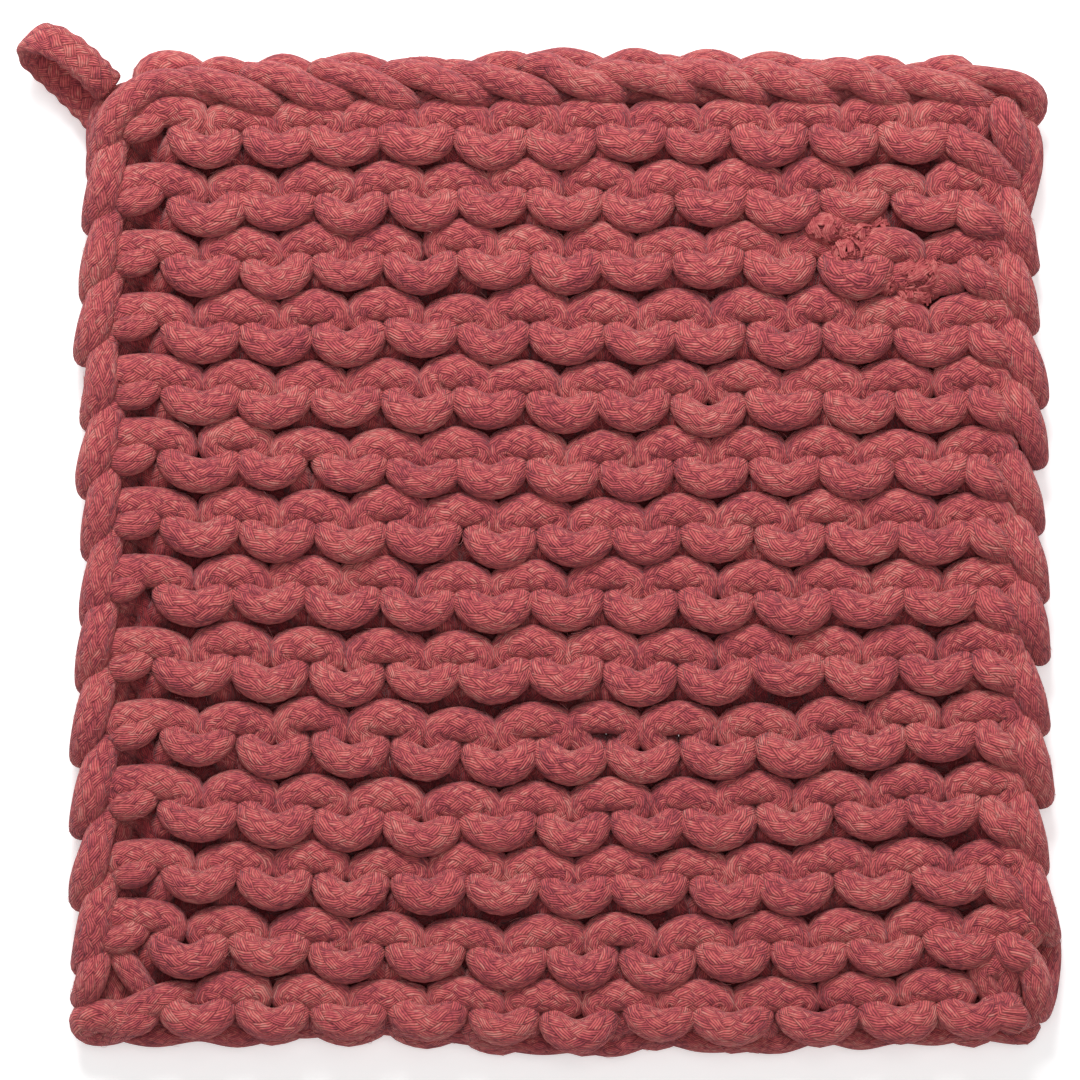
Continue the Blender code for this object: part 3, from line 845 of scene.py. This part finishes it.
def fibre_paths(route, rings, count):
    """Short thin paths over the surface of the yarn, most of them roughly along it."""
    paths = []
    while len(paths) < count:
        ring = int(fibre_chance.integers(2, len(route) - 2))
        side = int(fibre_chance.integers(0, SIDES))
        start = rings[ring, side]
        normal = unit(start - route[ring, :3])
        angle = fibre_chance.normal(0, FIBRE_TURN)
        length = fibre_chance.uniform(*FIBRE_LENGTH)
        rise = fibre_chance.uniform(*FIBRE_RISE)
        bend = fibre_chance.uniform(-FIBRE_BEND, FIBRE_BEND)
        free = fibre_chance.uniform() < FREE_SHARE
        if normal[2] < LOWEST_FACING:
            continue
        along = unit(rings[ring + 1, side] - rings[ring - 1, side])
        round_it = np.cross(normal, along)
        way = along * math.cos(angle) + round_it * math.sin(angle)
        across = np.cross(normal, way)
        drop = (length * math.sin(angle)) ** 2 / (2 * route[ring, 3])
        path = []
        for s in (0.0, 0.33, 0.67, 1.0):
            lifted = rise * (s if free else math.sin(math.pi * s)) - drop * s * s - ROOT_DEPTH
            path.append(start + way * length * s + across * bend * s * s + normal * lifted)
        paths.append(path)
    return paths


fibres = fibre_paths(route, all_rings, FIBRES)
loose_fibres = threads("loose_fibres", fibres, FIBRE_RADIUS, roundness=0)


# %% [markdown]
# ## The cotton yarn
# The yarn is a soft braid. Bundles of four or five fine threads cross each other at a slant, so each
# patch of its surface shows short parallel threads, and in the next patch they slant the other way. Two
# sets of slanting stripes in the yarn's UV map give that, and a checkerboard says which is on top.

# %% Nodes that are used again and again
def noise_node(tree, vector, scale, detail, dimensions="3D"):
    """Soft random values from 0 to 1, most of them near the middle."""
    node = tree.nodes.new("ShaderNodeTexNoise")
    node.noise_dimensions = dimensions
    node.inputs["Scale"].default_value = scale
    node.inputs["Detail"].default_value = detail
    tree.links.new(vector, node.inputs["Vector"])
    return node.outputs["Fac"]


def math_node(tree, operation, first, second=None, third=None):
    """One step of arithmetic. Each of its values is a number or another node's output."""
    node = tree.nodes.new("ShaderNodeMath")
    node.operation = operation
    for socket, value in zip(node.inputs, (first, second, third)):
        if value is None:
            continue
        if isinstance(value, (int, float)):
            socket.default_value = value
        else:
            tree.links.new(value, socket)
    return node.outputs[0]


def colour_ramp(tree, stops, value):
    """Colours blended from stop to stop. Each stop is a value and a colour."""
    ramp = tree.nodes.new("ShaderNodeValToRGB")
    elements = ramp.color_ramp.elements
    elements[0].position, elements[0].color = stops[0]
    elements[1].position, elements[1].color = stops[-1]
    for position, colour in stops[1:-1]:
        element = elements.new(position)
        element.color = colour
    tree.links.new(value, ramp.inputs["Fac"])
    return ramp.outputs["Color"]


def mix_colours(tree, kind, factor, first, second):
    """Two colours put together. Each of the values is a constant or another node's output."""
    node = tree.nodes.new("ShaderNodeMix")
    node.data_type = "RGBA"
    node.blend_type = kind
    for name, value in (("Factor", factor), ("A", first), ("B", second)):
        # a Mix node has sockets of the same name for each kind of data
        socket = [s for s in node.inputs if s.name == name and s.enabled][0]
        if isinstance(value, (int, float, tuple)):
            socket.default_value = value
        else:
            tree.links.new(value, socket)
    return [s for s in node.outputs if s.enabled][0]


def falling(tree, value, full, none):
    """1 up to one value and 0 from another, with a smooth change between."""
    node = tree.nodes.new("ShaderNodeMapRange")
    node.interpolation_type = "SMOOTHSTEP"
    tree.links.new(value, node.inputs["Value"])
    for name, number in (("From Min", full), ("From Max", none), ("To Min", 1.0), ("To Max", 0.0)):
        node.inputs[name].default_value = number
    return node.outputs["Result"]


# %% The braid, as a node group
STREAK_STEP = 3.7  # so far apart that each thread has a streak of its own
STREAK_STRETCH = 1.3  # how fast the streak changes along a thread
SETS_APART = 500.0  # between the thread numbers of the two sets of stripes
SWAY = 0.45  # how far the threads wander, in bundles
BUNDLE_HEIGHT, THREAD_HEIGHT = 0.55, 0.45
# painted shade: how much darker the braid is painted in the grooves between bundles and between threads
BUNDLE_GAP_SHADE, THREAD_GAP_SHADE = 0.45, 0.65  # how dark it is between bundles and between threads


def build_braid_group():
    """Height of the braided surface, the streak of each thread, and the shade between threads."""
    tree = bpy.data.node_groups.new("yarn_braid", "ShaderNodeTree")
    for name, kind, value in (
        ("UV", "NodeSocketVector", None),
        ("Bundles round", "NodeSocketFloat", 7.0),
        ("Bundle length", "NodeSocketFloat", 3.3),
        ("Threads", "NodeSocketFloat", 4.6),
    ):
        socket = tree.interface.new_socket(name=name, in_out="INPUT", socket_type=kind)
        if value is not None:
            socket.default_value = value
    for name in ("Height", "Streak", "Shade"):
        tree.interface.new_socket(name=name, in_out="OUTPUT", socket_type="NodeSocketFloat")

    def calc(operation, *values):
        return math_node(tree, operation, *values)

    given = tree.nodes.new("NodeGroupInput")
    result = tree.nodes.new("NodeGroupOutput")
    parts = tree.nodes.new("ShaderNodeSeparateXYZ")
    tree.links.new(given.outputs["UV"], parts.inputs[0])
    # a slow wander keeps the threads from being ruled lines
    wander = noise_node(tree, given.outputs["UV"], 0.35, 1.0, "2D")
    sway = calc("MULTIPLY", calc("SUBTRACT", wander, 0.5), SWAY)
    around = calc("MULTIPLY", parts.outputs["X"], given.outputs["Bundles round"])
    bundles = calc("DIVIDE", parts.outputs["Y"], given.outputs["Bundle length"])
    along = calc("ADD", bundles, sway)
    right = calc("ADD", along, around)
    left = calc("SUBTRACT", along, around)
    cells = calc("ADD", calc("FLOOR", right), calc("FLOOR", left))
    on_top = calc("FLOORED_MODULO", cells, 2.0)

    def choose(when_right, when_left):
        """The value of the set of stripes that is on top."""
        mix = tree.nodes.new("ShaderNodeMix")
        mix.data_type = "FLOAT"
        tree.links.new(on_top, mix.inputs["Factor"])
        tree.links.new(when_left, mix.inputs["A"])
        tree.links.new(when_right, mix.inputs["B"])
        return mix.outputs["Result"]

    def arch(value):
        """From 0 at both ends of a cell to 1 in its middle."""
        share = calc("FRACT", value)
        return calc("POWER", calc("SINE", calc("MULTIPLY", share, math.pi)), 0.5)

    across = choose(right, left)
    lengthwise = choose(left, right)
    bundle_shape = calc("MULTIPLY", arch(across), arch(lengthwise))
    thread_place = calc("MULTIPLY", across, given.outputs["Threads"])
    wave = calc("ABSOLUTE", calc("SINE", calc("MULTIPLY", thread_place, math.pi)))

    thread = calc("ADD", calc("FLOOR", thread_place), calc("MULTIPLY", on_top, SETS_APART))
    spot = tree.nodes.new("ShaderNodeCombineXYZ")
    tree.links.new(calc("MULTIPLY", thread, STREAK_STEP), spot.inputs[0])
    tree.links.new(calc("MULTIPLY", lengthwise, STREAK_STRETCH), spot.inputs[1])
    streak = noise_node(tree, spot.outputs[0], 1.0, 1.0, "2D")

    # each bundle is a soft hump, and its threads are fine waves over it
    threads_up = calc("MULTIPLY", wave, THREAD_HEIGHT)
    height = calc("ADD", calc("MULTIPLY", bundle_shape, BUNDLE_HEIGHT), threads_up)
    # painted shade in the grooves between bundles and between threads
    bundle_groove_shade = calc("ADD", calc("MULTIPLY", bundle_shape, BUNDLE_GAP_SHADE), 1 - BUNDLE_GAP_SHADE)
    thread_groove_shade = calc("ADD", calc("MULTIPLY", wave, THREAD_GAP_SHADE), 1 - THREAD_GAP_SHADE)
    tree.links.new(height, result.inputs["Height"])
    tree.links.new(streak, result.inputs["Streak"])
    tree.links.new(calc("MULTIPLY", bundle_groove_shade, thread_groove_shade), result.inputs["Shade"])
    return tree


braid_group = build_braid_group()
print("the braid has", len(braid_group.nodes), "nodes")

# %% [markdown]
# ## Colour
# The yarn is a faded rose red. Its tone changes softly from place to place, from thread to thread, and
# in the fine fuzz of its surface. Painted shade darkens it in the grooves between the threads, and more
# deeply inside the cloth, between its two faces, where less light reaches.

# %% The yarn material
# painted shade: yarn deep in the cloth, between its two faces, is darkened with this colour
PAINTED_INSIDE_SHADE = (0.50, 0.28, 0.32, 1.0)
INSIDE_DEPTH = (1.2, 4.2)  # fully inside so near the middle of the fabric, and not so far from it
INSIDE_ACROSS = (84.0, 89.0)  # the same for the place across
INSIDE_UP = (90.0, 95.0)  # and for the place up the cloth
YARN_TONES = (
    (0.32, (0.29, 0.052, 0.068, 1.0)),
    (0.44, (0.48, 0.084, 0.098, 1.0)),
    (0.56, (0.60, 0.130, 0.124, 1.0)),
    (0.70, (0.64, 0.225, 0.195, 1.0)),
)
# painted shade in the grooves between threads: dark at the bottom of a groove, none on top of a thread
PAINTED_CREASE_TONES = ((0.1, (0.28, 0.18, 0.21, 1.0)), (0.8, WHITE))
# how much each of three patterns changes the tone
HEATHER_PART, STREAK_PART, FUZZ_PART = 0.4, 0.55, 0.45
FUZZ_HEIGHT = 0.5  # the height of the fuzz beside that of the braid
BRAID_HEIGHT = 0.38 * MM
SHINE = 0.1


def inside_shade_share(tree, place):
    """1 inside the cloth and 0 on its faces and edges: where painted shade darkens the yarn between its two
    faces.
    """
    parts = tree.nodes.new("ShaderNodeSeparateXYZ")
    tree.links.new(place, parts.inputs[0])
    from_middle = math_node(tree, "SUBTRACT", parts.outputs["Z"], MIDDLE_HEIGHT * MM)
    away = math_node(tree, "ABSOLUTE", from_middle)
    share = falling(tree, away, INSIDE_DEPTH[0] * MM, INSIDE_DEPTH[1] * MM)
    for name, (full, none) in (("X", INSIDE_ACROSS), ("Y", INSIDE_UP)):
        edge = falling(tree, math_node(tree, "ABSOLUTE", parts.outputs[name]), full * MM, none * MM)
        share = math_node(tree, "MULTIPLY", share, edge)
    return share


def build_yarn(name, bundles, bundle_length):
    """The braided cotton, with so many bundles round the yarn, each of this length in millimetres."""
    material, tree, shader = new_material(name, {
        "Roughness": ROUGH, "Specular IOR Level": SHINE,
        "Sheen Weight": 0.18, "Sheen Tint": (0.95, 0.78, 0.80, 1.0), "Sheen Roughness": 0.5,
    })
    place = tree.nodes.new("ShaderNodeUVMap")
    place.uv_map = "yarn"
    braid = tree.nodes.new("ShaderNodeGroup")
    braid.node_tree = braid_group
    braid.inputs["Bundles round"].default_value = bundles
    braid.inputs["Bundle length"].default_value = bundle_length
    tree.links.new(place.outputs["UV"], braid.inputs["UV"])

    coordinates = tree.nodes.new("ShaderNodeTexCoord")
    heather = noise_node(tree, coordinates.outputs["Object"], 130.0, 3.0)
    # worn threads are covered with fine fuzz, which breaks up their lines
    fuzz = noise_node(tree, coordinates.outputs["Object"], 1300.0, 2.0)
    tone = math_node(tree, "MULTIPLY_ADD", heather, HEATHER_PART, -HEATHER_PART / 2)
    tone = math_node(tree, "MULTIPLY_ADD", braid.outputs["Streak"], STREAK_PART, tone)
    tone = math_node(tree, "MULTIPLY_ADD", fuzz, FUZZ_PART, tone)
    base = colour_ramp(tree, YARN_TONES, tone)
    crease_shade = colour_ramp(tree, PAINTED_CREASE_TONES, braid.outputs["Shade"])
    colour = mix_colours(tree, "MULTIPLY", 1.0, base, crease_shade)
    # painted shade inside the cloth, between its two faces
    inside = inside_shade_share(tree, coordinates.outputs["Object"])
    colour = mix_colours(tree, "MULTIPLY", inside, colour, PAINTED_INSIDE_SHADE)
    tree.links.new(colour, shader.inputs["Base Color"])

    bump = tree.nodes.new("ShaderNodeBump")
    bump.inputs["Strength"].default_value = 1.0
    bump.inputs["Distance"].default_value = BRAID_HEIGHT
    height = math_node(tree, "MULTIPLY_ADD", fuzz, FUZZ_HEIGHT, braid.outputs["Height"])
    tree.links.new(height, bump.inputs["Height"])
    tree.links.new(bump.outputs["Normal"], shader.inputs["Normal"])
    return material


BUNDLES_ROUND = 8.0
yarn = build_yarn("cotton_yarn", BUNDLES_ROUND, 4.2)
print(yarn.name, "has", len(yarn.node_tree.nodes), "nodes")

# %% The material of separate threads
THREAD_TONES = (
    (0.30, (0.25, 0.045, 0.055, 1.0)),
    (0.50, (0.42, 0.088, 0.090, 1.0)),
    (0.72, (0.52, 0.165, 0.150, 1.0)),
)
FIBRE_TONES = (
    (0.30, (0.46, 0.130, 0.130, 1.0)),
    (0.50, (0.58, 0.210, 0.200, 1.0)),
    (0.72, (0.64, 0.330, 0.310, 1.0)),
)


def build_loose_thread(name, stops):
    """Thin separate threads: their tone changes from one to the next, and they have no braid."""
    material, tree, shader = new_material(name, {"Roughness": ROUGH, "Specular IOR Level": SHINE})
    coordinates = tree.nodes.new("ShaderNodeTexCoord")
    heather = noise_node(tree, coordinates.outputs["Object"], 900.0, 2.0)
    colour = colour_ramp(tree, stops, heather)
    tree.links.new(colour, shader.inputs["Base Color"])
    return material


frayed_ends.data.materials.append(build_loose_thread("loose_thread", THREAD_TONES))
loose_fibres.data.materials.append(build_loose_thread("loose_fibre", FIBRE_TONES))
print("the frayed ends have", len(THREAD_TONES), "tones, and the fibres", len(FIBRE_TONES))

# %% [markdown]
# ## What each piece belongs to
# All pieces ride on the one body, and each takes the place of one of the two solids. The knitted ones
# are thick and soft.

# %% Bodies, nodes and slots
for piece in (frayed_ends, loose_fibres):
    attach(piece, BODY)
    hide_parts(SQUARE)
hanging_loop.data.materials.append(build_yarn("loop_yarn", BUNDLES_ROUND, 3.2))
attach(hanging_loop, BODY)
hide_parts(LOOP)
for piece in knit_pieces:
    piece.data.materials.append(yarn)
    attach(piece, BODY)
    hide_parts(SQUARE)
print(len(knit_pieces) + 3, "pieces ride on", BODY)
